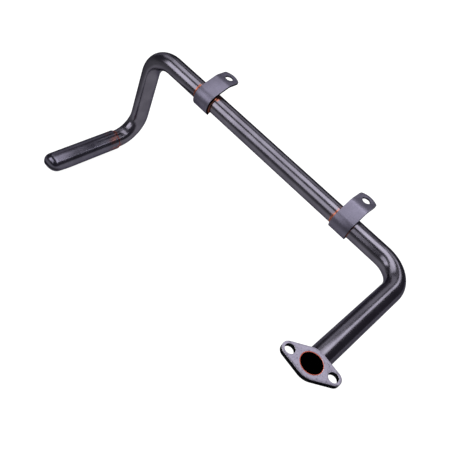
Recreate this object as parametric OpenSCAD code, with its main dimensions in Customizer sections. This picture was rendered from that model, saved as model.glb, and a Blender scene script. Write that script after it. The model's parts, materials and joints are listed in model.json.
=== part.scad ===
// Oil pickup tube: a bent steel suction tube with a two-bolt flange, two strap brackets and a strainer foot.
// The origin is the centre of the flange's outlet hole, on its gasket face, with +Z out of that face.
// The tube leaves the flange along +Y, runs along -X, drops along -Z and ends in the foot along -Y.

/* [Tube] */
// Outside diameter of the tube
tube_od = 26; // [20:0.1:32]
// Wall of the tube
tube_wall = 1.65; // [1:0.05:2.5]
// Centreline radius of the three open bends
bend_r = 38; // [28:1:48]
// Centreline radius of the tight elbow under the flange, beyond the tube's own radius
elbow_extra = 0.3; // [0.3:0.1:6]
// Share of that elbow's outer radius by which its heel is pressed flat
heel_share = 0.23; // [0.02:0.01:0.28]

/* [Route] */
// From the outlet hole to the axis of the main run
outlet_reach = 205; // [140:0.5:280]
// From the outlet pipe's axis to the riser's axis
main_run = 455; // [420:1:560]
// From the main run's axis down to the foot's axis
riser_drop = 153; // [110:1:220]

/* [Flange] */
// Thickness of the flange plate
flange_t = 5.5; // [3:0.1:8]
// Distance between the two bolt holes
bolt_spacing = 48; // [44:0.5:60]
// Diameter of the bolt holes
bolt_hole_d = 11; // [6:0.5:12]
// Radius of the lobe around each bolt hole
lobe_r = 8.6; // [7.5:0.1:13]
// Metal left around the seat of the tube's end
waist_wall = 4.8; // [4:0.1:9]
// Turn of the bolt line about the outlet hole
flange_turn = 15.5; // [-40:0.5:40]
// How far the rim of the outlet hole reaches in over the tube's end
outlet_lip = 0.7; // [0.3:0.1:1.4]
// Depth of the tube's end below the gasket face
tube_recess = 2.6; // [1:0.1:2.8]
// Gap between the flange's back and the pipe that passes under it
pipe_gap = 1.2; // [0.4:0.1:10]

/* [Foot] */
// Wall of the foot
foot_wall = 1.5; // [1:0.1:3]
// Length of the foot from its mouth to its tip
foot_length = 120.5; // [95:0.5:170]
// Straight tube left between the bend and the foot's mouth
mouth_gap = 4.5; // [3:0.5:15]
// Length of tube inside the foot
foot_overlap = 30; // [10:1:40]
// Rounding of the closed tip
tip_round = 8; // [3:0.5:11]
// Slope of the flat underside towards the tip
underside_slope = 10; // [8:0.5:14]
// Depth of the underside below the foot's axis at the tip
tip_depth = 1.8; // [0.5:0.1:4]
// Diameter of the strainer holes
strainer_hole_d = 3.5; // [2:0.1:4]
// Pitch of the strainer holes
strainer_pitch = 5.6; // [5:0.1:9]
// Least metal left beside a strainer hole
strainer_edge = 1.2; // [0.8:0.1:3]

/* [Brackets] */
// Width of each strap along the tube
strap_w = 26; // [18:0.1:32]
// Thickness of the strap's sheet
strap_t = 3.2; // [2:0.1:4]
// Height of the bolt tabs' upper faces above the main run's axis
tab_height = 26; // [25:0.5:40]
// From the tab's hole to the middle of its rounded end
tab_end = 10; // [8:0.5:16]
// Diameter of the tabs' holes
tab_hole_d = 11; // [6:0.5:12]
// Radius of the tab's crowned end
tab_crown_r = 20; // [17:0.5:40]
// Corner radius of the tab's end
tab_corner_r = 4; // [1:0.5:6]
// Inside radius of the bend between ramp and tab
crease_r = 12; // [4:0.5:14]
// How far the straps reach round under the tube's near side, in degrees
wrap_angle = 58; // [20:1:80]
// From the outlet pipe's axis to the middle of the strap near the flange
flange_side_reach = 96.5; // [70:0.5:200]
// Slope of that strap's ramp
flange_side_ramp = 32; // [26:1:45]
// From the main run's axis to the hole in that strap's tab
flange_side_hole = 26.5; // [24:0.5:40]
// Gap between that strap and the tube, which braze fills
flange_side_gap = 0.4; // [0.2:0.1:2]
// From the outlet pipe's axis to the middle of the strap near the riser
inlet_side_reach = 345; // [230:0.5:370]
// Slope of that strap's ramp
inlet_side_ramp = 22; // [19:1:30]
// From the main run's axis to the hole in that strap's tab
inlet_side_hole = 28.5; // [26:0.5:40]
// Gap between that strap and the tube, which braze fills
inlet_side_gap = 1.9; // [0.2:0.1:3]

/* [Brazing] */
// Gap that the braze fills between two pieces
braze_gap = 0.1; // [0.05:0.01:0.2]
// Leg of the braze fillets along the tube
braze_leg = 2.2; // [0.8:0.1:2.8]
// Leg of the small braze fillet behind the flange
flange_leg = 0.9; // [0.4:0.1:2]
// Width of the copper line inside the rim of the outlet hole
rim_line = 0.5; // [0.2:0.1:0.9]

/* [Hidden] */
$fn = 96;

steel = [0.38, 0.37, 0.43];
plate_steel = [0.62, 0.60, 0.68];
copper = [0.80, 0.45, 0.35];

tube_r = tube_od / 2;
bore_r = tube_r - tube_wall;
seat_r = tube_r + braze_gap;
elbow_r = tube_r + elbow_extra;
outlet_hole_r = seat_r - outlet_lip;
// A straight stub under the flange carries the braze fillet, and the elbow takes the pipe down from there.
pipe_drop = flange_t + max(pipe_gap + tube_r, flange_leg + elbow_r);
foot_z = -pipe_drop - riser_drop;
foot_y = outlet_reach - bend_r - mouth_gap;
foot_r = seat_r + foot_wall;
waist_r = seat_r + waist_wall;
// Angle round the main run at which the straps end.
wrap_end = 180 + wrap_angle;
// Length by which a cut passes through the face where it starts.
through = 1;

// Points of an arc, from one angle to another.
function arc(cx, cy, r, from, to, steps = 24) =
    [for (i = [0 : steps])
        let (angle = from + (to - from) * i / steps)
        [cx + r * cos(angle), cy + r * sin(angle)]];

module quarter_bend(r, big_r) {
    rotate_extrude(angle = 90)
        translate([big_r, 0])
            circle(r);
}

// A rod along the whole route. The tube is one rod less a thinner one that runs out of both ends.
module route(r, past) {
    stub = pipe_drop - elbow_r - tube_recess;
    translate([0, 0, elbow_r - pipe_drop])
        cylinder(h = stub + past, r = r);
    translate([0, elbow_r, elbow_r - pipe_drop])
        rotate([90, 0, 90])
            rotate([0, 0, 180])
                quarter_bend(r, elbow_r);
    translate([0, elbow_r, -pipe_drop])
        rotate([-90, 0, 0])
            cylinder(h = outlet_reach - bend_r - elbow_r, r = r);
    translate([-bend_r, outlet_reach - bend_r, -pipe_drop])
        quarter_bend(r, bend_r);
    translate([-bend_r, outlet_reach, -pipe_drop])
        rotate([0, -90, 0])
            cylinder(h = main_run - 2 * bend_r, r = r);
    translate([bend_r - main_run, outlet_reach, -pipe_drop - bend_r])
        rotate([90, 0, 0])
            rotate([0, 0, 90])
                quarter_bend(r, bend_r);
    translate([-main_run, outlet_reach, foot_z + bend_r])
        cylinder(h = riser_drop - 2 * bend_r, r = r);
    translate([-main_run, outlet_reach - bend_r, foot_z + bend_r])
        rotate([90, 0, 90])
            rotate([0, 0, -90])
                quarter_bend(r, bend_r);
    translate([-main_run, outlet_reach - bend_r, foot_z])
        rotate([90, 0, 0])
            cylinder(h = mouth_gap + foot_overlap + past, r = r);
}

// All that lies beyond the flat heel of the tight elbow, moved in by the given depth.
module beyond_heel(depth) {
    flat = (elbow_r + tube_r) * (1 - heel_share) - depth;
    translate([0, elbow_r, elbow_r - pipe_drop])
        rotate([45, 0, 0])
            translate([-tube_od, -flat - tube_od, -tube_od])
                cube([2 * tube_od, tube_od, 2 * tube_od]);
}

module pickup_tube() {
    color(steel)
        difference() {
            route(tube_r, 0);
            beyond_heel(0);
            difference() {
                route(bore_r, through);
                beyond_heel(tube_wall);
            }
        }
}

// Outline of the flange: a round waist with two bolt lobes, joined by straight flanks.
module flange_outline() {
    half = bolt_spacing / 2;
    flank = asin((waist_r - lobe_r) / half);
    polygon(concat(
        arc(half, 0, lobe_r, flank - 90, 90 - flank),
        arc(0, 0, waist_r, 90 - flank, 90 + flank),
        arc(-half, 0, lobe_r, 90 + flank, 270 - flank),
        arc(0, 0, waist_r, 270 - flank, 270 + flank)));
}

module mounting_flange() {
    color(plate_steel)
        rotate([0, 0, flange_turn])
            difference() {
                translate([0, 0, -flange_t])
                    linear_extrude(flange_t)
                        flange_outline();
                translate([0, 0, -flange_t - through])
                    cylinder(h = flange_t + 2 * through, r = outlet_hole_r);
                // Seat of the tube's end, a counterbore from the back.
                translate([0, 0, -flange_t - through])
                    cylinder(h = flange_t + through - tube_recess + braze_gap, r = seat_r);
                for (side = [-1, 1])
                    translate([side * bolt_spacing / 2, 0, -flange_t - through])
                        cylinder(h = flange_t + 2 * through, d = bolt_hole_d);
            }
}

// Places a child along the foot: its Z runs from the mouth to the tip and its Y points up.
module at_foot() {
    translate([-main_run, foot_y, foot_z])
        rotate([90, 0, 0])
            children();
}

// A round bar with a rounded tip, the foot's outside or its hollow.
module foot_bar(r, length, round, start) {
    translate([0, 0, start])
        rotate_extrude()
            union() {
                square([r, length - round - start]);
                translate([0, length - round - start])
                    square([r - round, round]);
                translate([r - round, length - round - start])
                    intersection() {
                        circle(round);
                        square(round);
                    }
            }
}

// All that lies below the sloping underside, raised by the given height.
module below_underside(raise) {
    reach = 2 * foot_length;
    translate([0, -tip_depth, foot_length])
        rotate([-underside_slope, 0, 0])
            translate([-foot_length / 2, raise - foot_length, -reach])
                cube([foot_length, foot_length, 2 * reach]);
}

// Half the width of the hollow over the underside, at a distance from the tip.
function hollow_half_width(from_tip) =
    let (depth = tip_depth + from_tip * tan(underside_slope))
    let (inside = foot_r - foot_wall)
    depth >= inside ? 0 : sqrt(inside * inside - depth * depth);

module strainer_holes() {
    margin = strainer_hole_d / 2 + strainer_edge;
    first = tip_round + strainer_hole_d;
    rows = floor((foot_length - foot_overlap - first) / strainer_pitch);
    across = ceil(foot_r / strainer_pitch);
    for (row = [0 : rows])
        for (column = [-across : across]) {
            from_tip = first + row * strainer_pitch;
            x = (column + (row % 2) / 2) * strainer_pitch;
            if (abs(x) + margin < hollow_half_width(from_tip))
                translate([0, -tip_depth, foot_length])
                    rotate([-underside_slope, 0, 0])
                        translate([x, 0, -from_tip / cos(underside_slope)])
                            rotate([90, 0, 0])
                                cylinder(h = 4 * foot_wall, d = strainer_hole_d, center = true);
        }
}

module inlet_foot() {
    color(steel)
        at_foot()
            difference() {
                foot_bar(foot_r, foot_length, tip_round, 0);
                below_underside(0);
                difference() {
                    foot_bar(seat_r, foot_length - foot_wall, tip_round - foot_wall, -through);
                    below_underside(foot_wall);
                }
                strainer_holes();
            }
}

// Places a child on the main run: its X runs along the tube, its Y points to the tabs and its Z up.
module at_run(reach) {
    translate([-reach, outlet_reach, -pipe_drop])
        children();
}

// Plan of a strap: straight edges, and a crowned bolt end with rounded corners.
module strap_plan(hole_reach) {
    half = strap_w / 2;
    start_y = -tube_od - strap_t;
    crown_y = hole_reach + tab_end - tab_crown_r;
    // The corner rounds touch the straight edge and the crown from inside.
    corner_x = half - tab_corner_r;
    corner_lift = sqrt(pow(tab_crown_r - tab_corner_r, 2) - pow(corner_x, 2));
    meet = atan2(corner_lift, corner_x);
    polygon(concat(
        [[-half, start_y], [half, start_y]],
        arc(corner_x, crown_y + corner_lift, tab_corner_r, 0, meet, 10),
        arc(0, crown_y, tab_crown_r, meet, 180 - meet, 20),
        arc(-corner_x, crown_y + corner_lift, tab_corner_r, 180 - meet, 180, 10)));
}

// Side view of a strap: it wraps the tube's near side, climbs a ramp over the crown and ends in a level tab.
module strap_side(ramp, gap, hole_reach) {
    inner_r = tube_r + gap;
    outer_r = inner_r + strap_t;
    tab_under = tab_height - strap_t;
    rise = tab_under - inner_r * cos(ramp) - crease_r * (1 - cos(ramp));
    crease_y = rise / tan(ramp) - (inner_r - crease_r) * sin(ramp);
    crease_z = tab_under - crease_r;
    end_y = hole_reach + 2 * tab_end;
    polygon(concat(
        arc(0, 0, outer_r, wrap_end, 90 + ramp),
        arc(crease_y, crease_z, crease_r + strap_t, 90 + ramp, 90, 12),
        [[end_y, tab_height], [end_y, tab_under]],
        arc(crease_y, crease_z, crease_r, 90, 90 + ramp, 12),
        arc(0, 0, inner_r, 90 + ramp, wrap_end)));
}

module strap(ramp, gap, hole_reach) {
    difference() {
        intersection() {
            rotate([90, 0, 90])
                linear_extrude(2 * strap_w, center = true)
                    strap_side(ramp, gap, hole_reach);
            linear_extrude(4 * tab_height, center = true)
                strap_plan(hole_reach);
        }
        translate([0, hole_reach, tab_height - strap_t - through])
            cylinder(h = strap_t + 2 * through, d = tab_hole_d);
    }
}

module flange_side_bracket() {
    color(plate_steel)
        at_run(flange_side_reach)
            strap(flange_side_ramp, flange_side_gap, flange_side_hole);
}

module inlet_side_bracket() {
    color(plate_steel)
        at_run(inlet_side_reach)
            strap(inlet_side_ramp, inlet_side_gap, inlet_side_hole);
}

// Braze of the flange: a line inside the rim of the outlet hole and a fillet behind the plate.
module flange_braze() {
    color(copper) {
        rotate_extrude()
            polygon([[outlet_hole_r, -braze_gap], [outlet_hole_r - rim_line, -braze_gap],
                     [outlet_hole_r, -braze_gap - 2 * rim_line]]);
        rotate_extrude()
            polygon([[tube_r, -flange_t], [tube_r + flange_leg, -flange_t],
                     [tube_r, -flange_t - flange_leg]]);
    }
}

module foot_braze() {
    color(copper)
        at_foot()
            rotate_extrude()
                polygon([[tube_r, 0], [foot_r - braze_gap, 0], [tube_r, -braze_leg]]);
}

// Braze of a strap: a layer between it and the tube, with a fillet along each edge.
module strap_braze(ramp, gap) {
    top = 90 + ramp;
    half = strap_w / 2;
    layer_r = tube_r + gap - braze_gap;
    fillet_r = tube_r + gap + strap_t / 2;
    rotate([90, 0, 90])
        rotate_extrude(angle = wrap_end - top, start = top)
            polygon([[tube_r, -half - braze_leg], [tube_r, half + braze_leg], [fillet_r, half],
                     [layer_r, half], [layer_r, -half], [fillet_r, -half]]);
}

module flange_side_bracket_braze() {
    color(copper)
        at_run(flange_side_reach)
            strap_braze(flange_side_ramp, flange_side_gap);
}

module inlet_side_bracket_braze() {
    color(copper)
        at_run(inlet_side_reach)
            strap_braze(inlet_side_ramp, inlet_side_gap);
}

pickup_tube();
mounting_flange();
inlet_foot();
flange_side_bracket();
inlet_side_bracket();
flange_braze();
foot_braze();
flange_side_bracket_braze();
inlet_side_bracket_braze();
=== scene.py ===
# %% [markdown]
# # An oil pickup tube
# An engine draws its oil out of the sump through this part. One bent steel tube carries a bolt-on
# flange at its outlet, a closed foot with a strainer at its inlet, and two strap brackets on the
# way. Copper braze joins them. The solids already have their size and place, so this lesson models
# each piece again with Blender's own operators, smoother and with rounded edges, and gives each
# surface its finish.

# %% Load the frame
import json
import math

import bpy
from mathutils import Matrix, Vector


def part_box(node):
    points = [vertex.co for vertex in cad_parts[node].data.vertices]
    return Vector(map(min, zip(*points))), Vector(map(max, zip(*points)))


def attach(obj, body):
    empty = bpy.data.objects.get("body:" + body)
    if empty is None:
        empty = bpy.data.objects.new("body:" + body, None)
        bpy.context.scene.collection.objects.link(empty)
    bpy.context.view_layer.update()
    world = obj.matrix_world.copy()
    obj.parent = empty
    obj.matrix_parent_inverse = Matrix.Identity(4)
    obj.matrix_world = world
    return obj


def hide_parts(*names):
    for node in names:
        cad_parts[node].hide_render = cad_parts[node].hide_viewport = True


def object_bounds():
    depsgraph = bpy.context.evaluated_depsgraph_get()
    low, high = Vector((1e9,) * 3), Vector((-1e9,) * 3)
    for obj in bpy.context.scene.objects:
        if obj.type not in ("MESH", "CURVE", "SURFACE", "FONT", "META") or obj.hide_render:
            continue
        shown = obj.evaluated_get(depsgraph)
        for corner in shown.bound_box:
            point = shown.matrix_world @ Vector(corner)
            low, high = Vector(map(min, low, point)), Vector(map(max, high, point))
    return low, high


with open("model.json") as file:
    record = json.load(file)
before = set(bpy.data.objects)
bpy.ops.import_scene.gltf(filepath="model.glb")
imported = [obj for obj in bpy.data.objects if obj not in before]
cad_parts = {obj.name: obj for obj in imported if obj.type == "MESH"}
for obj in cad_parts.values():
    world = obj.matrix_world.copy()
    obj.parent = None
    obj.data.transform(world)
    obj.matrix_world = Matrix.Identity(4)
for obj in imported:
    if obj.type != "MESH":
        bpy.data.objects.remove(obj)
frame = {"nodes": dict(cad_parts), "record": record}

cad_box = [list(corner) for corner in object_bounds()]
print("nodes in the frame:", ", ".join(sorted(frame["nodes"])))

# %% [markdown]
# ## Sizes
# Blender works in metres here, and the drawing is in millimetres, so every size is written as a
# number of mm. Where a place can be read from the frame it is: the tube's box gives the axis of
# each of its straight runs, and the bolt holes give the places of the straps.

# %% Sizes and places
mm = 0.001
tube_r = 13 * mm
tube_wall = 1.65 * mm
braze_gap = 0.1 * mm
seat_r = tube_r + braze_gap
bend_r = 38 * mm
elbow_r = tube_r + 0.3 * mm
tube_recess = 2.6 * mm
tab_height = 26 * mm
strap_w = 26 * mm
foot_overlap = 30 * mm

tube_low, tube_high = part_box("pickup_tube")
pipe_x = tube_high.x - tube_r
main_y = tube_high.y - tube_r
main_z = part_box("flange_side_bracket")[1].z - tab_height
riser_x = tube_low.x + tube_r
foot_z = tube_low.z + tube_r
mouth_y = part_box("inlet_foot")[1].y
holes = {mount["name"]: mount for mount in frame["record"]["mounts"]}
flange_strap_x, flange_hole_y = holes["flange_side_tab_hole"]["pos_m"][:2]
inlet_strap_x, inlet_hole_y = holes["inlet_side_tab_hole"]["pos_m"][:2]
print(f"main run at y {main_y / mm:.1f} mm, z {main_z / mm:.1f} mm")
print(f"riser at x {riser_x / mm:.1f} mm, mouth of the foot at y {mouth_y / mm:.1f} mm")
print(f"straps at x {flange_strap_x / mm:.1f} and {inlet_strap_x / mm:.1f} mm")

# %% [markdown]
# ## Working with operators
# An operator acts on whatever is selected, so each piece starts with nothing else selected. These
# helpers start a piece from a primitive, go into Edit Mode and out of it, and apply a modifier.

# %% Selecting and editing
def pick_only(piece):
    bpy.ops.object.select_all(action="DESELECT")
    piece.select_set(True)
    bpy.context.view_layer.objects.active = piece


def start(name, add, **settings):
    """Adds a primitive as a new piece, alone in the selection."""
    bpy.ops.object.select_all(action="DESELECT")
    add(**settings)
    piece = bpy.context.object
    piece.name = name
    piece.data.name = name
    return piece


def place_in_mesh(piece):
    """Moves a piece's place, turn and scale into its mesh, so that it stands at the origin."""
    pick_only(piece)
    bpy.ops.object.transform_apply(location=True, rotation=True, scale=True)


def edit(piece, select="SELECT"):
    pick_only(piece)
    bpy.ops.object.mode_set(mode="EDIT")
    bpy.ops.mesh.select_all(action=select)


def leave_edit():
    bpy.ops.object.mode_set(mode="OBJECT")


def apply_modifier(piece, kind, **settings):
    pick_only(piece)
    modifier = piece.modifiers.new(kind.lower(), kind)
    for name, value in settings.items():
        setattr(modifier, name, value)
    bpy.ops.object.modifier_apply(modifier=modifier.name)


# %% [markdown]
# ## A small language for finishes
# A finish is a graph of nodes. Wrapping a socket in a class with operators lets a mask be written
# as a sum, such as `1 - stain`, and every operator adds one Math node. One method, `node`, adds any
# other kind of node.

# %% Sockets that can be added and multiplied
class Wire:
    """An output socket that can be used in sums."""

    def __init__(self, finish, socket):
        self.finish = finish
        self.socket = socket

    def math(self, operation, *values):
        sockets = dict(enumerate((self, *values)))
        return self.finish.node("ShaderNodeMath", {"operation": operation}, sockets)

    def __add__(self, other):
        return self.math("ADD", other)

    def __sub__(self, other):
        return self.math("SUBTRACT", other)

    def __rsub__(self, other):
        return self.finish.node("ShaderNodeMath", {"operation": "SUBTRACT"}, {0: other, 1: self})

    def __mul__(self, other):
        return self.math("MULTIPLY", other)

    def __abs__(self):
        return self.math("ABSOLUTE")

    __radd__ = __add__

    def step(self, low, high):
        """Rises smoothly from 0 to 1 as the value goes from low to high."""
        return self.finish.node("ShaderNodeMapRange", {"interpolation_type": "SMOOTHSTEP"},
                                {"Value": self, "From Min": low, "From Max": high})


# %% A finish and its nodes
class Finish:
    """A material with a Principled shader and the nodes that feed it."""

    def __init__(self, name):
        self.material = bpy.data.materials.new(name)
        self.material.use_nodes = True
        self.tree = self.material.node_tree
        self.shader = self.tree.nodes["Principled BSDF"]
        self.place = self.node("ShaderNodeTexCoord", out="Object")
        self.x, self.y, self.z = self.split(self.place)
        facing_x, _, facing_z = self.split(self.node("ShaderNodeTexCoord", out="Normal"))
        self.faces_x, self.faces_z = abs(facing_x), abs(facing_z)

    def node(self, kind, settings=None, sockets=None, out=0):
        made = self.tree.nodes.new(kind)
        for name, value in (settings or {}).items():
            setattr(made, name, value)
        for name, value in (sockets or {}).items():
            self.feed(made.inputs[name], value)
        return Wire(self, made.outputs[out])

    def feed(self, socket, value):
        if isinstance(value, Wire):
            self.tree.links.new(value.socket, socket)
        else:
            socket.default_value = value

    def split(self, vector):
        parts = self.node("ShaderNodeSeparateXYZ", sockets={"Vector": vector}).socket.node.outputs
        return [Wire(self, part) for part in parts]

    def noise(self, size, detail=3.0):
        """A cloud pattern from 0 to 1 with patches of about the given size."""
        sockets = {"Vector": self.place, "Scale": 1 / size, "Detail": detail}
        return self.node("ShaderNodeTexNoise", sockets=sockets)

    def blend(self, mask, low, high):
        """A colour between two, by a mask."""
        return self.node("ShaderNodeMix", {"data_type": "RGBA"}, {0: mask, 6: low, 7: high}, out=2)

    def set(self, **sockets):
        """Feeds the shader's sockets. An underscore stands for a space."""
        for name, value in sockets.items():
            self.feed(self.shader.inputs[name.replace("_", " ")], value)

    def bump(self, height, strength, distance):
        sockets = {"Height": height, "Strength": strength, "Distance": distance}
        self.set(Normal=self.node("ShaderNodeBump", sockets=sockets))

    def show(self, shader):
        """Makes another shader the surface, in place of the Principled one."""
        self.feed(self.tree.nodes["Material Output"].inputs["Surface"], shader)


# %% [markdown]
# ## Oxide steel
# The part was brazed in a furnace. That leaves the steel dark, faintly violet and satin. A large
# cloud and a small fleck of noise vary its colour a little, as an oxide film does. The film also
# dims the metal where it is seen at a slant, so the shader's edge tint is dark.

# %% Steel
# Black for scale, and in several masks below for painted shade.
SCALE_AND_SHADE_BLACK = (0.012, 0.012, 0.014, 1)
EDGE_TINT = (0.35, 0.35, 0.37, 1)
CLOUD_SIZE, FLECK_SIZE = 18 * mm, 1.6 * mm
ROUGH_SPREAD = 0.08


def steel(name, dark, light, rough, speckle=0.4):
    """Satin steel with a cloudy, speckled oxide. Returns the finish and its colour, to build on."""
    finish = Finish(name)
    cloud = finish.noise(CLOUD_SIZE, detail=5)
    fleck = finish.noise(FLECK_SIZE, detail=2)
    oxide = cloud * (1 - speckle) + fleck * speckle
    colour = finish.blend(oxide.step(0.35, 0.65), (*dark, 1), (*light, 1))
    finish.set(Metallic=1.0, Specular_Tint=EDGE_TINT)
    finish.set(Roughness=rough + (cloud - 0.5) * ROUGH_SPREAD)
    return finish, colour


# %% [markdown]
# ## Copper that crept
# In the furnace the copper creeps out of the joints and leaves a thin stain on the steel. The stain
# is a mask: the distance to the nearest joint, broken up by noise, so it needs no painted texture.
# At one place the copper ran out over the tube's crown, and that spot is a second mask.

# %% Stain masks
COPPER = (0.30, 0.10, 0.065, 1)
STAIN_FULL, STAIN_END = 1.5 * mm, 6 * mm
FAR_OFF = 50 * mm          # added to a distance, it rules a joint out
FOOT_REGION = 30 * mm
BACK_SHARE = 0.25          # back along the foot the stain reaches four times as far
CREEP_SIZE = 9 * mm
SPLASH_SIZE, SPLASH_RAGGED = 3 * mm, 5 * mm


def stain(finish):
    """How much copper has crept over the steel: 1 at a joint, 0 a few millimetres off."""
    from_flange_strap = abs(finish.x - (flange_strap_x - strap_w / 2))
    from_inlet_strap = abs(abs(finish.x - inlet_strap_x) - strap_w / 2)
    wrapped = (finish.z - finish.y - (main_z - main_y)).step(-6 * mm, -3 * mm)
    from_straps = from_flange_strap.math("MINIMUM", from_inlet_strap) + (1 - wrapped) * FAR_OFF
    past_mouth = finish.y - mouth_y
    above_foot = (finish.z - (foot_z + FOOT_REGION)).step(0, mm)
    from_mouth = past_mouth.math("MAXIMUM", past_mouth * -BACK_SHARE) + above_foot * FAR_OFF
    near = 1 - from_straps.math("MINIMUM", from_mouth).step(STAIN_FULL, STAIN_END)
    return near * finish.noise(CREEP_SIZE, detail=4).step(0.46, 0.64)


def splash(finish):
    """A spot of copper that ran out over the tube's crown at the inlet strap's far edge."""
    spot = (inlet_strap_x + strap_w / 2 + 2 * mm, main_y - 4 * mm, main_z + 12.4 * mm)
    away = finish.node("ShaderNodeVectorMath", {"operation": "DISTANCE"},
                       {0: finish.place, 1: spot}, out="Value")
    ragged = away + (finish.noise(SPLASH_SIZE) - 0.5) * SPLASH_RAGGED
    return 1 - ragged.step(2.5 * mm, 4.5 * mm)


# %% [markdown]
# ## The tube's finish
# The tube is the smoothest steel of the part, with the copper's stain on it. Inside its outlet the
# bore is painted black as painted shade, so it reads as a dark hole.

# %% Tube steel
outlet_depth = 14 * mm
TUBE_STAIN, TUBE_SPLASH = 0.7, 0.85
tube_steel, metal = steel("tube_oxide_steel", dark=(0.105, 0.098, 0.122),
                          light=(0.130, 0.122, 0.150), rough=0.22, speckle=0.1)
metal = tube_steel.blend(stain(tube_steel) * TUBE_STAIN, metal, COPPER)
metal = tube_steel.blend(splash(tube_steel) * TUBE_SPLASH, metal, COPPER)
# Painted shade: the bore near the outlet is painted black.
from_axis = (tube_steel.x * tube_steel.x + tube_steel.y * tube_steel.y).math("SQRT")
inside = 1 - from_axis.step(tube_r - 0.4 * mm, tube_r - 0.2 * mm)
near_outlet = (tube_steel.z + outlet_depth).step(0, mm)
tube_steel.set(Base_Color=tube_steel.blend(inside * near_outlet, metal, SCALE_AND_SHADE_BLACK))
print("made the finish", tube_steel.material.name)

# %% [markdown]
# ## Bending in Edit Mode
# An extrude pushes the selected ring along, which makes a straight run. A spin turns the ring about
# an axis, which makes a bend. Spin turns against the right-hand rule, so the helper changes the
# sign once, here. The other helpers select by place, make the normals face outwards and hand a
# finished piece over in place of its solid.

# %% Extrude, spin, normals and hand-over
X_AXIS, Y_AXIS, Z_AXIS = Vector((1, 0, 0)), Vector((0, 1, 0)), Vector((0, 0, 1))
WELD = 0.001 * mm


def push(offset):
    bpy.ops.mesh.extrude_region_move(TRANSFORM_OT_translate={"value": offset})


def turn(center, axis, degrees, steps=20):
    bpy.ops.mesh.spin(steps=steps, angle=-math.radians(degrees), center=center, axis=axis)


def select_vertices(piece, wanted):
    """Selects the vertices of a piece whose place passes a test, and the edges between them."""
    edit(piece, "DESELECT")
    bpy.ops.mesh.select_mode(type="VERT")
    leave_edit()
    for vertex in piece.data.vertices:
        vertex.select = wanted(vertex.co)
    bpy.ops.object.mode_set(mode="EDIT")
    bpy.ops.mesh.select_mode(type="VERT")


def face_outwards(piece, outside):
    """Makes the normals agree, and flips them if the face nearest an outside point looks away."""
    edit(piece)
    bpy.ops.mesh.remove_doubles(threshold=WELD)
    bpy.ops.mesh.normals_make_consistent(inside=False)
    leave_edit()
    nearest = min(piece.data.polygons, key=lambda face: (face.center - outside).length)
    if nearest.normal.dot(outside - nearest.center) < 0:
        edit(piece)
        bpy.ops.mesh.flip_normals()
        leave_edit()


def finish_piece(piece, node, finish, smooth=35):
    """Shades a piece, gives it its finish and sets it in place of a node of the frame."""
    place_in_mesh(piece)
    bpy.ops.object.shade_smooth_by_angle(angle=math.radians(smooth))
    piece.data.materials.clear()
    piece.data.materials.append(finish.material)
    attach(piece, "root")
    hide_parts(node)
    print(f"{piece.name}: {len(piece.data.polygons)} faces")


# %% [markdown]
# ## The tube
# On a bench the tube is a straight length that a bender turns four times. The same steps work here:
# a circle is the tube's end, an extrude is a straight run and a spin is a bend.

# %% Bend the pickup tube
RING = 64
pipe_center = Vector((pipe_x, 0, main_z))
stub = -pipe_center.normalized()
elbow_start = pipe_center + stub * elbow_r

tube = start("tube_visual", bpy.ops.mesh.primitive_circle_add, vertices=RING, radius=tube_r,
             location=-stub * tube_recess, rotation=stub.to_track_quat("Z", "Y").to_euler())
edit(tube)
push(elbow_start + stub * tube_recess)
turn(elbow_start + Y_AXIS * elbow_r, X_AXIS, 90, steps=16)
push((0, main_y - bend_r - elbow_r, 0))
turn((pipe_x - bend_r, main_y - bend_r, main_z), Z_AXIS, 90)
push((riser_x - pipe_x + 2 * bend_r, 0, 0))
turn((riser_x + bend_r, main_y, main_z - bend_r), -Y_AXIS, 90)
push((0, 0, foot_z - main_z + 2 * bend_r))
turn((riser_x, main_y - bend_r, foot_z + bend_r), -X_AXIS, 90)
push((0, mouth_y - foot_overlap - main_y + bend_r, 0))
leave_edit()
place_in_mesh(tube)
print(f"{tube.name}: {len(tube.data.vertices) // RING} rings")

# %% [markdown]
# The elbow behind the flange is so tight that its heel is pressed flat. A bisect slices the heel
# off and fills the cut. The wall comes last, from Solidify, so that the bore follows every bend.

# %% Flatten the heel and give the tube its wall
heel_share = 0.23
heel_out = Vector((0, -1, -1)).normalized()
elbow_center = elbow_start + Y_AXIS * elbow_r
heel_center = elbow_center + heel_out * (elbow_r + tube_r) * (1 - heel_share)
elbow_end_y, elbow_low_z = elbow_r + mm, main_z - 2 * tube_r
select_vertices(tube, lambda place: place.y < elbow_end_y and place.z > elbow_low_z)
bpy.ops.mesh.bisect(plane_co=heel_center, plane_no=heel_out, use_fill=True, clear_outer=True)
leave_edit()
face_outwards(tube, Vector((riser_x / 2, main_y, main_z + 1)))
apply_modifier(tube, "SOLIDIFY", thickness=tube_wall, offset=-1, use_even_offset=True)
finish_piece(tube, "pickup_tube", tube_steel)

# %% [markdown]
# ## The flange
# The plate is stamped from strip: a round waist and two bolt lobes with straight flanks between
# them. Its face is satin with small scuffs. Its sides are painted black as painted shade, and the
# edge between them is painted bright as a painted highlight. Which way a face looks tells these
# apart.

# %% Flange steel
PAINTED_HIGHLIGHT_STEEL = (0.60, 0.58, 0.64, 1)
SCUFF_SIZE, SCUFF_DEPTH = 2.4 * mm, 0.5
flange_steel, metal = steel("flange_satin_steel", dark=(0.128, 0.118, 0.154),
                            light=(0.150, 0.139, 0.180), rough=0.34)
scuffs = flange_steel.noise(SCUFF_SIZE).step(0.55, 0.68)
metal = flange_steel.blend(scuffs * SCUFF_DEPTH, metal, SCALE_AND_SHADE_BLACK)
flat = flange_steel.faces_z
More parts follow.
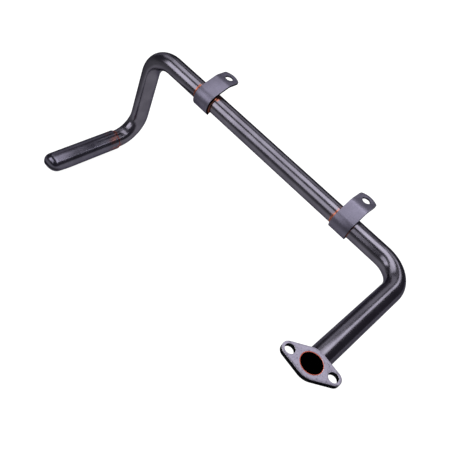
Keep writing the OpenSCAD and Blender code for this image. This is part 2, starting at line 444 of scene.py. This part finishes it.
# Painted highlight: the rounded edge between face and side is painted bright.
painted_edge_highlight = flat.step(0.4, 0.6) * (1 - flat.step(0.9, 0.99))
metal = flange_steel.blend(painted_edge_highlight, metal, PAINTED_HIGHLIGHT_STEEL)
# Painted shade: the upright sides of the plate are painted black.
painted_side_shade = 1 - flat.step(0.1, 0.5)
flange_steel.set(Base_Color=flange_steel.blend(painted_side_shade, metal, SCALE_AND_SHADE_BLACK))
print("made the finish", flange_steel.material.name)

# %% [markdown]
# The outline is the convex hull of three discs, so three cylinders and the Convex Hull operator
# make it. Boolean cuts make the holes, and a bevel gives the edges the small round that a press
# leaves.

# %% Mounting flange
flange_low, flange_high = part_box("mounting_flange")
flange_t = flange_high.z - flange_low.z
bolts = holes["flange_bolts"]["dims"]
bolt_reach = bolts["pcd_mm"] / 2 * mm
bolt_hole_r = bolts["hole_r_mm"] * mm
lobe_r = 8.6 * mm
waist_r = seat_r + 4.8 * mm
flange_turn = math.radians(15.5)
flange_edge = 0.7 * mm
outlet_lip = 0.7 * mm
outlet_hole_r = seat_r - outlet_lip
seat_top = -tube_recess + braze_gap
bolt_line = Vector((math.cos(flange_turn), math.sin(flange_turn), 0))
plate_middle = -Z_AXIS * flange_t / 2
through = 4 * flange_t
SIDES = (-1, 1)


def disc(name, radius, center, depth):
    return start(name, bpy.ops.mesh.primitive_cylinder_add, vertices=96, radius=radius,
                 depth=depth, location=center)


def join(piece, other):
    """Joins another piece into one that keeps its name."""
    pick_only(piece)
    other.select_set(True)
    bpy.ops.object.join()


def cut(piece, tool):
    apply_modifier(piece, "BOOLEAN", object=tool, operation="DIFFERENCE", solver="EXACT")
    bpy.data.objects.remove(tool)


def round_edges(piece, width, segments=3, angle=40):
    apply_modifier(piece, "BEVEL", width=width, segments=segments, limit_method="ANGLE",
                   angle_limit=math.radians(angle), use_clamp_overlap=True)


flange = disc("flange_visual", waist_r, plate_middle, flange_t)
for side in SIDES:
    join(flange, disc("lobe", lobe_r, plate_middle + bolt_line * side * bolt_reach, flange_t))
edit(flange)
bpy.ops.mesh.convex_hull()
bpy.ops.mesh.select_all(action="SELECT")
bpy.ops.mesh.dissolve_limited(angle_limit=math.radians(1))
leave_edit()
cut(flange, disc("bore_tool", outlet_hole_r, plate_middle, through))
cut(flange, disc("seat_tool", seat_r, Z_AXIS * (seat_top - through / 2), through))
for side in SIDES:
    bolt_center = plate_middle + bolt_line * side * bolt_reach
    cut(flange, disc("bolt_tool", bolt_hole_r, bolt_center, through))
round_edges(flange, flange_edge, segments=4)
finish_piece(flange, "mounting_flange", flange_steel)

# %% [markdown]
# ## The strap brackets
# Each strap is a flat blank of sheet, rougher than the tube, that is bent round the tube. Its cut
# sides are painted black as painted shade. Each has a bolt tab, a crease, a ramp down to the tube
# and a wrap over its crown and side.

# %% Strap steel
strap_steel, metal = steel("strap_satin_steel", dark=(0.113, 0.105, 0.143),
                           light=(0.140, 0.131, 0.177), rough=0.44)
# Painted shade: the strap's cut sides are painted black.
painted_side_shade = strap_steel.faces_x.step(0.8, 0.98)
strap_steel.set(Base_Color=strap_steel.blend(painted_side_shade, metal, SCALE_AND_SHADE_BLACK))
print("made the finish", strap_steel.material.name)

# %% [markdown]
# A plane is the bolt tab. Its near edge is spun through the crease, pushed down the ramp and spun
# over the tube. The tab's far edge is then subdivided and drawn to a shallow crown.

# %% Bend a strap
tab_hole = holes["flange_side_tab_hole"]["dims"]
tab_hole_r = tab_hole["r_mm"] * mm
strap_t = tab_hole["length_mm"] * mm
tab_end = 10 * mm
tab_crown_r = 20 * mm
tab_corner_r = 4 * mm
strap_edge = 0.5 * mm
crease_r = 12 * mm
wrap_angle = 58
touch = 0.01 * mm
tab_under = tab_height - strap_t


def crown_tab(piece, run, tab_tip, tab_middle):
    """Draws the far edge of a tab to a shallow arc and rounds its two corners."""
    select_vertices(piece, lambda place: place.y > tab_tip - touch)
    bpy.ops.mesh.subdivide(number_cuts=23)
    leave_edit()
    crown_y = tab_tip - tab_crown_r
    for vertex in piece.data.vertices:
        if vertex.co.y > tab_tip - touch:
            vertex.co.y = crown_y + math.sqrt(tab_crown_r ** 2 - (vertex.co.x - run.x) ** 2)
    select_vertices(piece, lambda place: abs(place.x - run.x) > strap_w / 2 - touch
                    and place.y > tab_middle)
    bpy.ops.mesh.bevel(offset=tab_corner_r, segments=8, affect="VERTICES")
    leave_edit()


def strap(name, center_x, ramp, gap, hole_y):
    """A strap over the main run, from its tab's tip to the end of its wrap."""
    slope = math.radians(ramp)
    inner_r = tube_r + gap
    rise = tab_under - inner_r * math.cos(slope) - crease_r * (1 - math.cos(slope))
    crease_y = rise / math.tan(slope) - (inner_r - crease_r) * math.sin(slope)
    run = Vector((center_x, main_y, main_z))
    crease = run + Vector((0, crease_y, tab_under - crease_r))
    tab_tip = hole_y + tab_end
    tab_length = tab_tip - crease.y
    tab_middle = crease.y + tab_length / 2
    piece = start(name, bpy.ops.mesh.primitive_plane_add, size=1,
                  location=(center_x, tab_middle, main_z + tab_under))
    piece.scale = (strap_w, tab_length, 1)
    place_in_mesh(piece)

    select_vertices(piece, lambda place: place.y < crease.y + touch)
    turn(crease, X_AXIS, ramp, steps=8)
    ramp_normal = Vector((0, -math.sin(slope), math.cos(slope)))
    push(run + ramp_normal * inner_r - crease - ramp_normal * crease_r)
    turn(run, X_AXIS, 90 - ramp + wrap_angle, steps=28)
    leave_edit()
    crown_tab(piece, run, tab_tip, tab_middle)

    face_outwards(piece, run + Z_AXIS)
    apply_modifier(piece, "SOLIDIFY", thickness=strap_t, offset=1, use_even_offset=True)
    hole_center = (center_x, hole_y, main_z + tab_under)
    cut(piece, disc("tab_tool", tab_hole_r, hole_center, through))
    round_edges(piece, strap_edge)
    return piece


# %% [markdown]
# The two straps differ in the slope of the ramp and in how far they stand off the tube.

# %% Both straps
flange_ramp, flange_gap = 32, 0.4 * mm
inlet_ramp, inlet_gap = 22, 1.9 * mm
flange_strap = strap("flange_side_strap_visual", flange_strap_x, flange_ramp, flange_gap,
                     flange_hole_y)
finish_piece(flange_strap, "flange_side_bracket", strap_steel)
inlet_strap = strap("inlet_side_strap_visual", inlet_strap_x, inlet_ramp, inlet_gap, inlet_hole_y)
finish_piece(inlet_strap, "inlet_side_bracket", strap_steel)

# %% [markdown]
# ## The foot
# The foot is a drawn cup that slides over the tube's end. A circle is pushed along its length and
# then drawn in, ring by ring, to the rounded tip. Bisect slices off the underside along its slope
# and fills it, and Solidify makes the wall. Extrudes list their faces in another order each run, so
# everything is sorted by its distance from the cursor before the slice.

# %% Draw the inlet foot
foot_wall = 1.5 * mm
foot_r = seat_r + foot_wall
foot_edge = 0.8 * mm
underside_slope = math.radians(10)
tip_depth = 1.8 * mm
tip_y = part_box("inlet_foot")[0].y
foot_length = mouth_y - tip_y
foot_axis = Vector((riser_x, 0, foot_z))
foot_mouth = foot_axis + Y_AXIS * mouth_y
tip_length = 12 * mm
TIP_RINGS = 18
TIP_POWER = 2.5

foot = start("foot_visual", bpy.ops.mesh.primitive_circle_add, vertices=RING, radius=foot_r,
             location=foot_mouth, rotation=(math.radians(90), 0, 0))
edit(foot)
push((0, -(foot_length - tip_length), 0))
ring_r, ring_y = foot_r, tip_y + tip_length
for ring in range(1, TIP_RINGS):
    angle = math.pi / 2 * ring / TIP_RINGS
    next_y = tip_y + tip_length * (1 - math.sin(angle) ** (2 / TIP_POWER))
    next_r = foot_r * math.cos(angle) ** (2 / TIP_POWER)
    push((0, next_y - ring_y, 0))
    scale = next_r / ring_r
    bpy.ops.transform.resize(value=(scale, 1, scale), center_override=foot_axis + Y_AXIS * next_y)
    ring_r, ring_y = next_r, next_y
bpy.ops.mesh.edge_face_add()
bpy.ops.mesh.select_all(action="SELECT")
bpy.ops.mesh.sort_elements(type="CURSOR_DISTANCE", elements={"VERT", "EDGE", "FACE"})
under_normal = Vector((0, -math.sin(underside_slope), -math.cos(underside_slope)))
under_point = Vector((riser_x, tip_y, foot_z - tip_depth))
bpy.ops.mesh.bisect(plane_co=under_point, plane_no=under_normal, use_fill=True, clear_outer=True)
leave_edit()
place_in_mesh(foot)
face_outwards(foot, foot_axis + Y_AXIS * (tip_y + mouth_y) / 2 + Z_AXIS)
round_edges(foot, foot_edge, segments=4)
apply_modifier(foot, "SOLIDIFY", thickness=foot_wall, offset=-1, use_even_offset=True)
print(f"{foot.name}: {foot_length / mm:.1f} mm long")

# %% [markdown]
# Oil enters through holes in the underside. On a bench they would be pierced in staggered rows
# before the cup is closed. Here one joined field of drills makes them all in a single Boolean cut.
# The underside is one face with many corners. It is split into triangles before the cut, because
# without that the cut can leave open edges.

# %% Strainer holes
strainer_hole_r = 1.75 * mm
strainer_pitch = 5.6 * mm
strainer_edge = 1.2 * mm
tip_clear = 8 * mm
strainer_start = tip_clear + 2 * strainer_hole_r
COLUMNS = range(-3, 4)


def strainer_places():
    """Places of the strainer holes on the underside, in staggered rows from the tip."""
    rows = int((foot_length - foot_overlap - strainer_start) / strainer_pitch)
    for row in range(rows + 1):
        from_tip = strainer_start + row * strainer_pitch
        depth = tip_depth + from_tip * math.tan(underside_slope)
        half_width = math.sqrt(max(seat_r ** 2 - depth ** 2, 0))
        for column in COLUMNS:
            across = (column + (row % 2) / 2) * strainer_pitch
            if abs(across) + strainer_hole_r + strainer_edge < half_width:
                yield Vector((riser_x + across, tip_y + from_tip, foot_z - depth))


drills = None
for place in strainer_places():
    drill = start("drill", bpy.ops.mesh.primitive_cylinder_add, vertices=24,
                  radius=strainer_hole_r, depth=4 * foot_wall, location=place,
                  rotation=(-underside_slope, 0, 0))
    if drills:
        join(drills, drill)
    else:
        drills = drill
apply_modifier(foot, "TRIANGULATE", min_vertices=5)
cut(foot, drills)
print(f"strainer: {len(list(strainer_places()))} holes")

# %% [markdown]
# The foot is a little darker than the tube. A dark line is painted above the edge at its tip as
# painted shade, and the rim of its mouth is red with copper. Each is a mask from the distance to
# that edge or rim.

# %% Foot steel
RED_COPPER = (0.20, 0.04, 0.025, 1)
FOOT_STAIN, TIP_SHADE_DEPTH = 0.55, 0.9
foot_steel, metal = steel("foot_drawn_steel", dark=(0.090, 0.085, 0.112),
                          light=(0.112, 0.106, 0.138), rough=0.22, speckle=0.1)
metal = foot_steel.blend(stain(foot_steel) * FOOT_STAIN, metal, COPPER)
from_tip = foot_steel.y - tip_y
above_edge = (from_tip * math.sin(underside_slope)
              + (foot_steel.z - under_point.z) * math.cos(underside_slope))
# Painted shade: a dark band just above the underside's edge near the tip.
painted_tip_shade = above_edge.step(1.8 * mm, 2.6 * mm) * (1 - above_edge.step(4 * mm, 8 * mm))
painted_tip_shade = painted_tip_shade * (1 - from_tip.step(6 * mm, 16 * mm))
metal = foot_steel.blend(painted_tip_shade * TIP_SHADE_DEPTH, metal, SCALE_AND_SHADE_BLACK)
mouth_rim = (foot_steel.y - mouth_y).step(-1.6 * mm, -0.9 * mm)
foot_steel.set(Base_Color=foot_steel.blend(mouth_rim, metal, RED_COPPER))
finish_piece(foot, "inlet_foot", foot_steel)

# %% [markdown]
# ## The braze
# Molten copper runs into a joint and freezes there, bright in places and dull in others. Along each
# strap's far edge the copper is painted darker, as painted shade in the gap under the strap. The
# thin line in the flange's hole is a plain red copper.

# %% Copper finishes
FED_COPPER, DULL_COPPER = (0.36, 0.12, 0.075, 1), (0.10, 0.025, 0.016, 1)
RIM_COPPER = (0.34, 0.075, 0.05, 1)
PATCH_SIZE, GRAIN_SIZE, PAINTED_FAR_SHADE = 4 * mm, 0.8 * mm, 0.65
copper_braze = Finish("copper_braze")
patches = copper_braze.noise(PATCH_SIZE, detail=4).step(0.3, 0.55)
copper = copper_braze.blend(patches, DULL_COPPER, FED_COPPER)
# Painted shade: the copper along each strap's far edge is painted darker.
from_flange_strap = abs(copper_braze.x - (flange_strap_x + strap_w / 2))
from_inlet_strap = abs(copper_braze.x - (inlet_strap_x + strap_w / 2))
painted_far_shade = 1 - from_flange_strap.math("MINIMUM", from_inlet_strap).step(3 * mm, 4 * mm)
painted_far_shade = painted_far_shade * (1 - splash(copper_braze))
copper = copper_braze.blend(painted_far_shade * PAINTED_FAR_SHADE, copper, SCALE_AND_SHADE_BLACK)
copper_braze.set(Base_Color=copper, Metallic=1.0)
copper_braze.set(Roughness=0.25 + patches * 0.1, Specular_Tint=EDGE_TINT)
copper_braze.bump(copper_braze.noise(GRAIN_SIZE), strength=0.1, distance=0.05 * mm)

rim_copper = Finish("rim_copper")
rim_copper.set(Base_Color=RIM_COPPER, Metallic=1.0, Roughness=0.4)
print("finishes:", ", ".join(material.name for material in bpy.data.materials))

# %% [markdown]
# A braze fillet is hollow. A few points make its section, spin sweeps the section round the tube,
# and a cloud texture in a Displace modifier makes its edge wander as real braze does.

# %% Fillet sections and sweeps
LUMPS = bpy.data.textures.new("braze_lumps", "CLOUDS")
LUMPS.noise_scale = 5 * mm
LUMP_HEIGHT = 0.3 * mm
SECTION_STEPS = 6
BRAZE_SMOOTH = 60


def hollow_section(inner, outer, foot_end, wall_end):
    """Corner of a joint, then a hollow curve from the wall to the tube, as (radius, along)."""
    points = [(inner, wall_end), (outer, wall_end)]
    for step in range(1, SECTION_STEPS + 1):
        angle = math.radians(90) * step / SECTION_STEPS
        radius = outer - (outer - inner) * math.sin(angle)
        along = wall_end + (foot_end - wall_end) * (1 - math.cos(angle))
        points.append((radius, along))
    return points


def sweep(name, section, center, axis, out, steps, begin=0, degrees=360):
    """Spins a section about an axis. `out` is the direction that `begin` degrees start from."""
    piece = start(name, bpy.ops.mesh.primitive_circle_add, vertices=len(section), radius=mm)
    first = math.radians(begin)
    arm = out * math.cos(first) + axis.cross(out) * math.sin(first)
    for vertex, (radius, along) in zip(piece.data.vertices, section):
        vertex.co = center + arm * radius + axis * along
    edit(piece)
    turn(center, axis, degrees, steps=steps)
    bpy.ops.mesh.select_all(action="SELECT")
    bpy.ops.mesh.remove_doubles(threshold=touch)
    bpy.ops.mesh.fill_holes(sides=0)
    bpy.ops.mesh.normals_make_consistent(inside=False)
    leave_edit()
    return piece


def lumpy(piece):
    apply_modifier(piece, "DISPLACE", texture=LUMPS, texture_coords="OBJECT",
                   strength=LUMP_HEIGHT, mid_level=0.5)


# %% [markdown]
# The flange's braze is two rings in one piece: a line inside the rim of the hole and a fillet
# behind the plate. The foot's braze is one ring in the corner between its mouth and the tube.

# %% Braze at the flange and the foot
rim_line = 0.5 * mm
flange_leg = 0.9 * mm
rim_top = -braze_gap
rim_section = [(outlet_hole_r, rim_top), (outlet_hole_r - rim_line, rim_top),
               (outlet_hole_r, rim_top - 2 * rim_line)]
flange_ring = sweep("flange_braze_visual", rim_section, Vector((0, 0, 0)), Z_AXIS, X_AXIS, 96)
back_section = hollow_section(tube_r, tube_r + flange_leg, -flange_leg, 0)
join(flange_ring, sweep("back_ring", back_section, Z_AXIS * -flange_t, Z_AXIS, X_AXIS, 96))
finish_piece(flange_ring, "flange_braze", rim_copper, BRAZE_SMOOTH)

mouth_leg = 2.2 * mm
mouth_toe_r, mouth_wall_r = tube_r - 0.2 * mm, foot_r - 0.1 * mm
mouth_section = hollow_section(mouth_toe_r, mouth_wall_r, mouth_leg, 0)
mouth_ring = sweep("foot_braze_visual", mouth_section, foot_mouth, Y_AXIS, Z_AXIS, 72)
lumpy(mouth_ring)
finish_piece(mouth_ring, "foot_braze", copper_braze, BRAZE_SMOOTH)

# %% [markdown]
# Under each strap the copper is a layer as wide as the strap, with a fillet along both edges. The
# fillet on the inlet's side has the longer toe, because the copper was fed from there.

# %% Braze at the straps
far_leg = 1.5 * mm
flange_fed_leg, inlet_fed_leg = 4 * mm, 6.5 * mm
toe_sink = 0.05 * mm
wall_share = 0.7
wall_heap = 0.4 * mm


def strap_braze(name, center_x, ramp, gap, fed_leg, node):
    """A layer under a strap with a fillet along each edge, from the ramp to the wrap's end."""
    half = strap_w / 2
    inner, outer = tube_r - toe_sink, tube_r + gap * wall_share + wall_heap
    layer_r = tube_r + gap - braze_gap
    left = hollow_section(inner, outer, -half - fed_leg, -half)[1:]
    right = hollow_section(inner, outer, half + far_leg, half)[1:]
    section = left[::-1] + [(layer_r, -half), (layer_r, half)] + right
    run = Vector((center_x, main_y, main_z))
    piece = sweep(name, section, run, X_AXIS, Y_AXIS, 60, begin=90 + ramp,
                  degrees=90 + wrap_angle - ramp)
    lumpy(piece)
    finish_piece(piece, node, copper_braze, BRAZE_SMOOTH)


strap_braze("flange_strap_braze_visual", flange_strap_x, flange_ramp, flange_gap,
            flange_fed_leg, "flange_side_bracket_braze")
strap_braze("inlet_strap_braze_visual", inlet_strap_x, inlet_ramp, inlet_gap,
            inlet_fed_leg, "inlet_side_bracket_braze")

# %% [markdown]
# ## Floor and walls
# Polished metal shows its surroundings, so the studio matters as much as the finish. The floor is
# white to the camera and keeps the part's shadow. The metal sees it bright near the part only, as
# under a lamp, and dark towards the front and the far left. A large dim sphere stands for the
# walls.

# %% Floor and walls
FLOOR_WHITE = 0.93
FLOOR_IN_METAL = 0.62
FLOOR_MATT = (0.15, 0.15, 0.15, 1)
FRONT_DARK, FRONT_LIT, FRONT_LEAST = -0.30, -0.05, 0.15
LEFT_DARK, LEFT_LIT, LEFT_LEAST = -0.58, -0.47, 0.2
WALL_TINT, WALL_GLOW = (0.9, 0.88, 1.0, 1), 0.12
lowest = cad_box[0][2]


def pale_floor():
    """White to the camera, and bright in the metal only near the part."""
    finish = Finish("pale_floor")
    rays = finish.node("ShaderNodeLightPath").socket.node.outputs
    camera_ray, glossy_ray, clear_ray = (Wire(finish, rays[f"Is {kind} Ray"])
                                         for kind in ("Camera", "Glossy", "Transmission"))
    lit = FRONT_LEAST + finish.y.step(FRONT_DARK, FRONT_LIT) * (1 - FRONT_LEAST)
    lit = lit * (LEFT_LEAST + finish.x.step(LEFT_DARK, LEFT_LIT) * (1 - LEFT_LEAST))
    seen = camera_ray.math("MAXIMUM", clear_ray) * FLOOR_WHITE + glossy_ray * lit * FLOOR_IN_METAL
    white = finish.node("ShaderNodeEmission", sockets={"Strength": seen})
    matt = finish.node("ShaderNodeBsdfDiffuse", sockets={"Color": FLOOR_MATT})
    finish.show(finish.node("ShaderNodeAddShader", sockets={0: white, 1: matt}))
    return finish.material


def dim_walls():
    finish = Finish("dim_walls")
    sockets = {"Color": WALL_TINT, "Strength": WALL_GLOW}
    finish.show(finish.node("ShaderNodeEmission", sockets=sockets))
    return finish.material


floor = start("floor", bpy.ops.mesh.primitive_plane_add, size=12,
              location=(0, 0, lowest - 0.5 * mm))
floor.data.materials.append(pale_floor())

walls = start("walls", bpy.ops.mesh.primitive_uv_sphere_add, segments=48, ring_count=24, radius=3)
walls.data.materials.append(dim_walls())
walls.visible_camera = False
walls.visible_diffuse = False
walls.visible_shadow = False
print("floor at z", round(floor.location.z / mm, 1), "mm")

# %% [markdown]
# ## Light
# Eight soft boxes are laid out so that each shows in the metal where a highlight belongs. Three
# hang in a row over the main run, one behind the outlet pipe's bend and one over the back left. Two
# stand in front and to the left, for the side of the tube and the foot, and a weak one fills from
# the left. The world behind it all is plain white.

# %% Lamps
LAMPS = (      # name, place, target, width, height, radiance
    ("overhead_right", (-0.09, 0.2175, 0.27), (-0.09, 0.2175, 0), 0.34, 0.195, 3.8),
    ("overhead_left", (-0.43, 0.195, 0.27), (-0.43, 0.195, 0), 0.34, 0.21, 2.8),
    ("overhead_far", (-0.83, 0.21, 0.27), (-0.83, 0.21, 0), 0.42, 0.22, 1.0),
    ("outlet_strip", (-0.005, 0.45, 0.27), (-0.005, 0.45, 0), 0.11, 0.27, 3.2),
    ("back_left", (-0.41, 0.58, 0.27), (-0.41, 0.58, 0), 0.54, 0.34, 0.9),
    ("front_left", (-0.80, -0.42, 0.30), (-0.80, 0.205, 0), 0.40, 0.55, 3.8),
    ("front", (-0.40, -0.42, 0.36), (-0.40, 0.205, 0), 0.40, 0.50, 2.4),
    ("left", (-1.20, 0.55, 0.18), (-0.45, 0.55, 0.18), 0.50, 0.65, 0.5),
)


def soft_box(name, place, target, width, height, radiance):
    """A rectangular lamp that looks at a target and is as bright as its radiance says."""
    data = bpy.data.lights.new(name, "AREA")
    data.shape = "RECTANGLE"
    data.size, data.size_y = width, height
    data.energy = radiance * math.pi * width * height
    lamp = bpy.data.objects.new(name, data)
    lamp.location = place
    lamp.rotation_euler = (Vector(place) - Vector(target)).to_track_quat("Z", "Y").to_euler()
    lamp.visible_camera = False
    bpy.context.scene.collection.objects.link(lamp)
    print(f"{name}: {data.energy:.2f} W")


for lamp in LAMPS:
    soft_box(*lamp)

world = bpy.data.worlds.new("white_surround")
bpy.context.scene.world = world
world.use_nodes = True
surround = world.node_tree.nodes["Background"].inputs
surround["Strength"].default_value = 1.0
surround["Color"].default_value = (1, 1, 1, 1)

# %% [markdown]
# ## The camera
# The camera stands where the photograph was taken from: above the flange, rolled so that the main
# run crosses the picture. The lens follows from the picture's width in pixels and its focal length
# in pixels.

# %% Camera
FRAME_PX = 450
FOCAL_PX = 604.8
CAMERA_PLACE = (0.02796, -0.36226, 0.46200)
CAMERA_TURN = (41.312, -17.888, 44.657)
camera_data = bpy.data.cameras.new("camera")
camera_data.sensor_width = 36
camera_data.lens = FOCAL_PX * camera_data.sensor_width / FRAME_PX
camera_data.dof.use_dof = False
camera = bpy.data.objects.new("camera", camera_data)
camera.location = CAMERA_PLACE
camera.rotation_euler = [math.radians(angle) for angle in CAMERA_TURN]
bpy.context.scene.collection.objects.link(camera)
bpy.context.scene.camera = camera
bpy.context.scene.view_settings.view_transform = "Standard"
print(f"lens: {camera_data.lens:.1f} mm")

# %% [markdown]
# ## Measure and finish
# The size of the solids is printed as the last line.

# %% Finish
print("size of the solids:", cad_box)
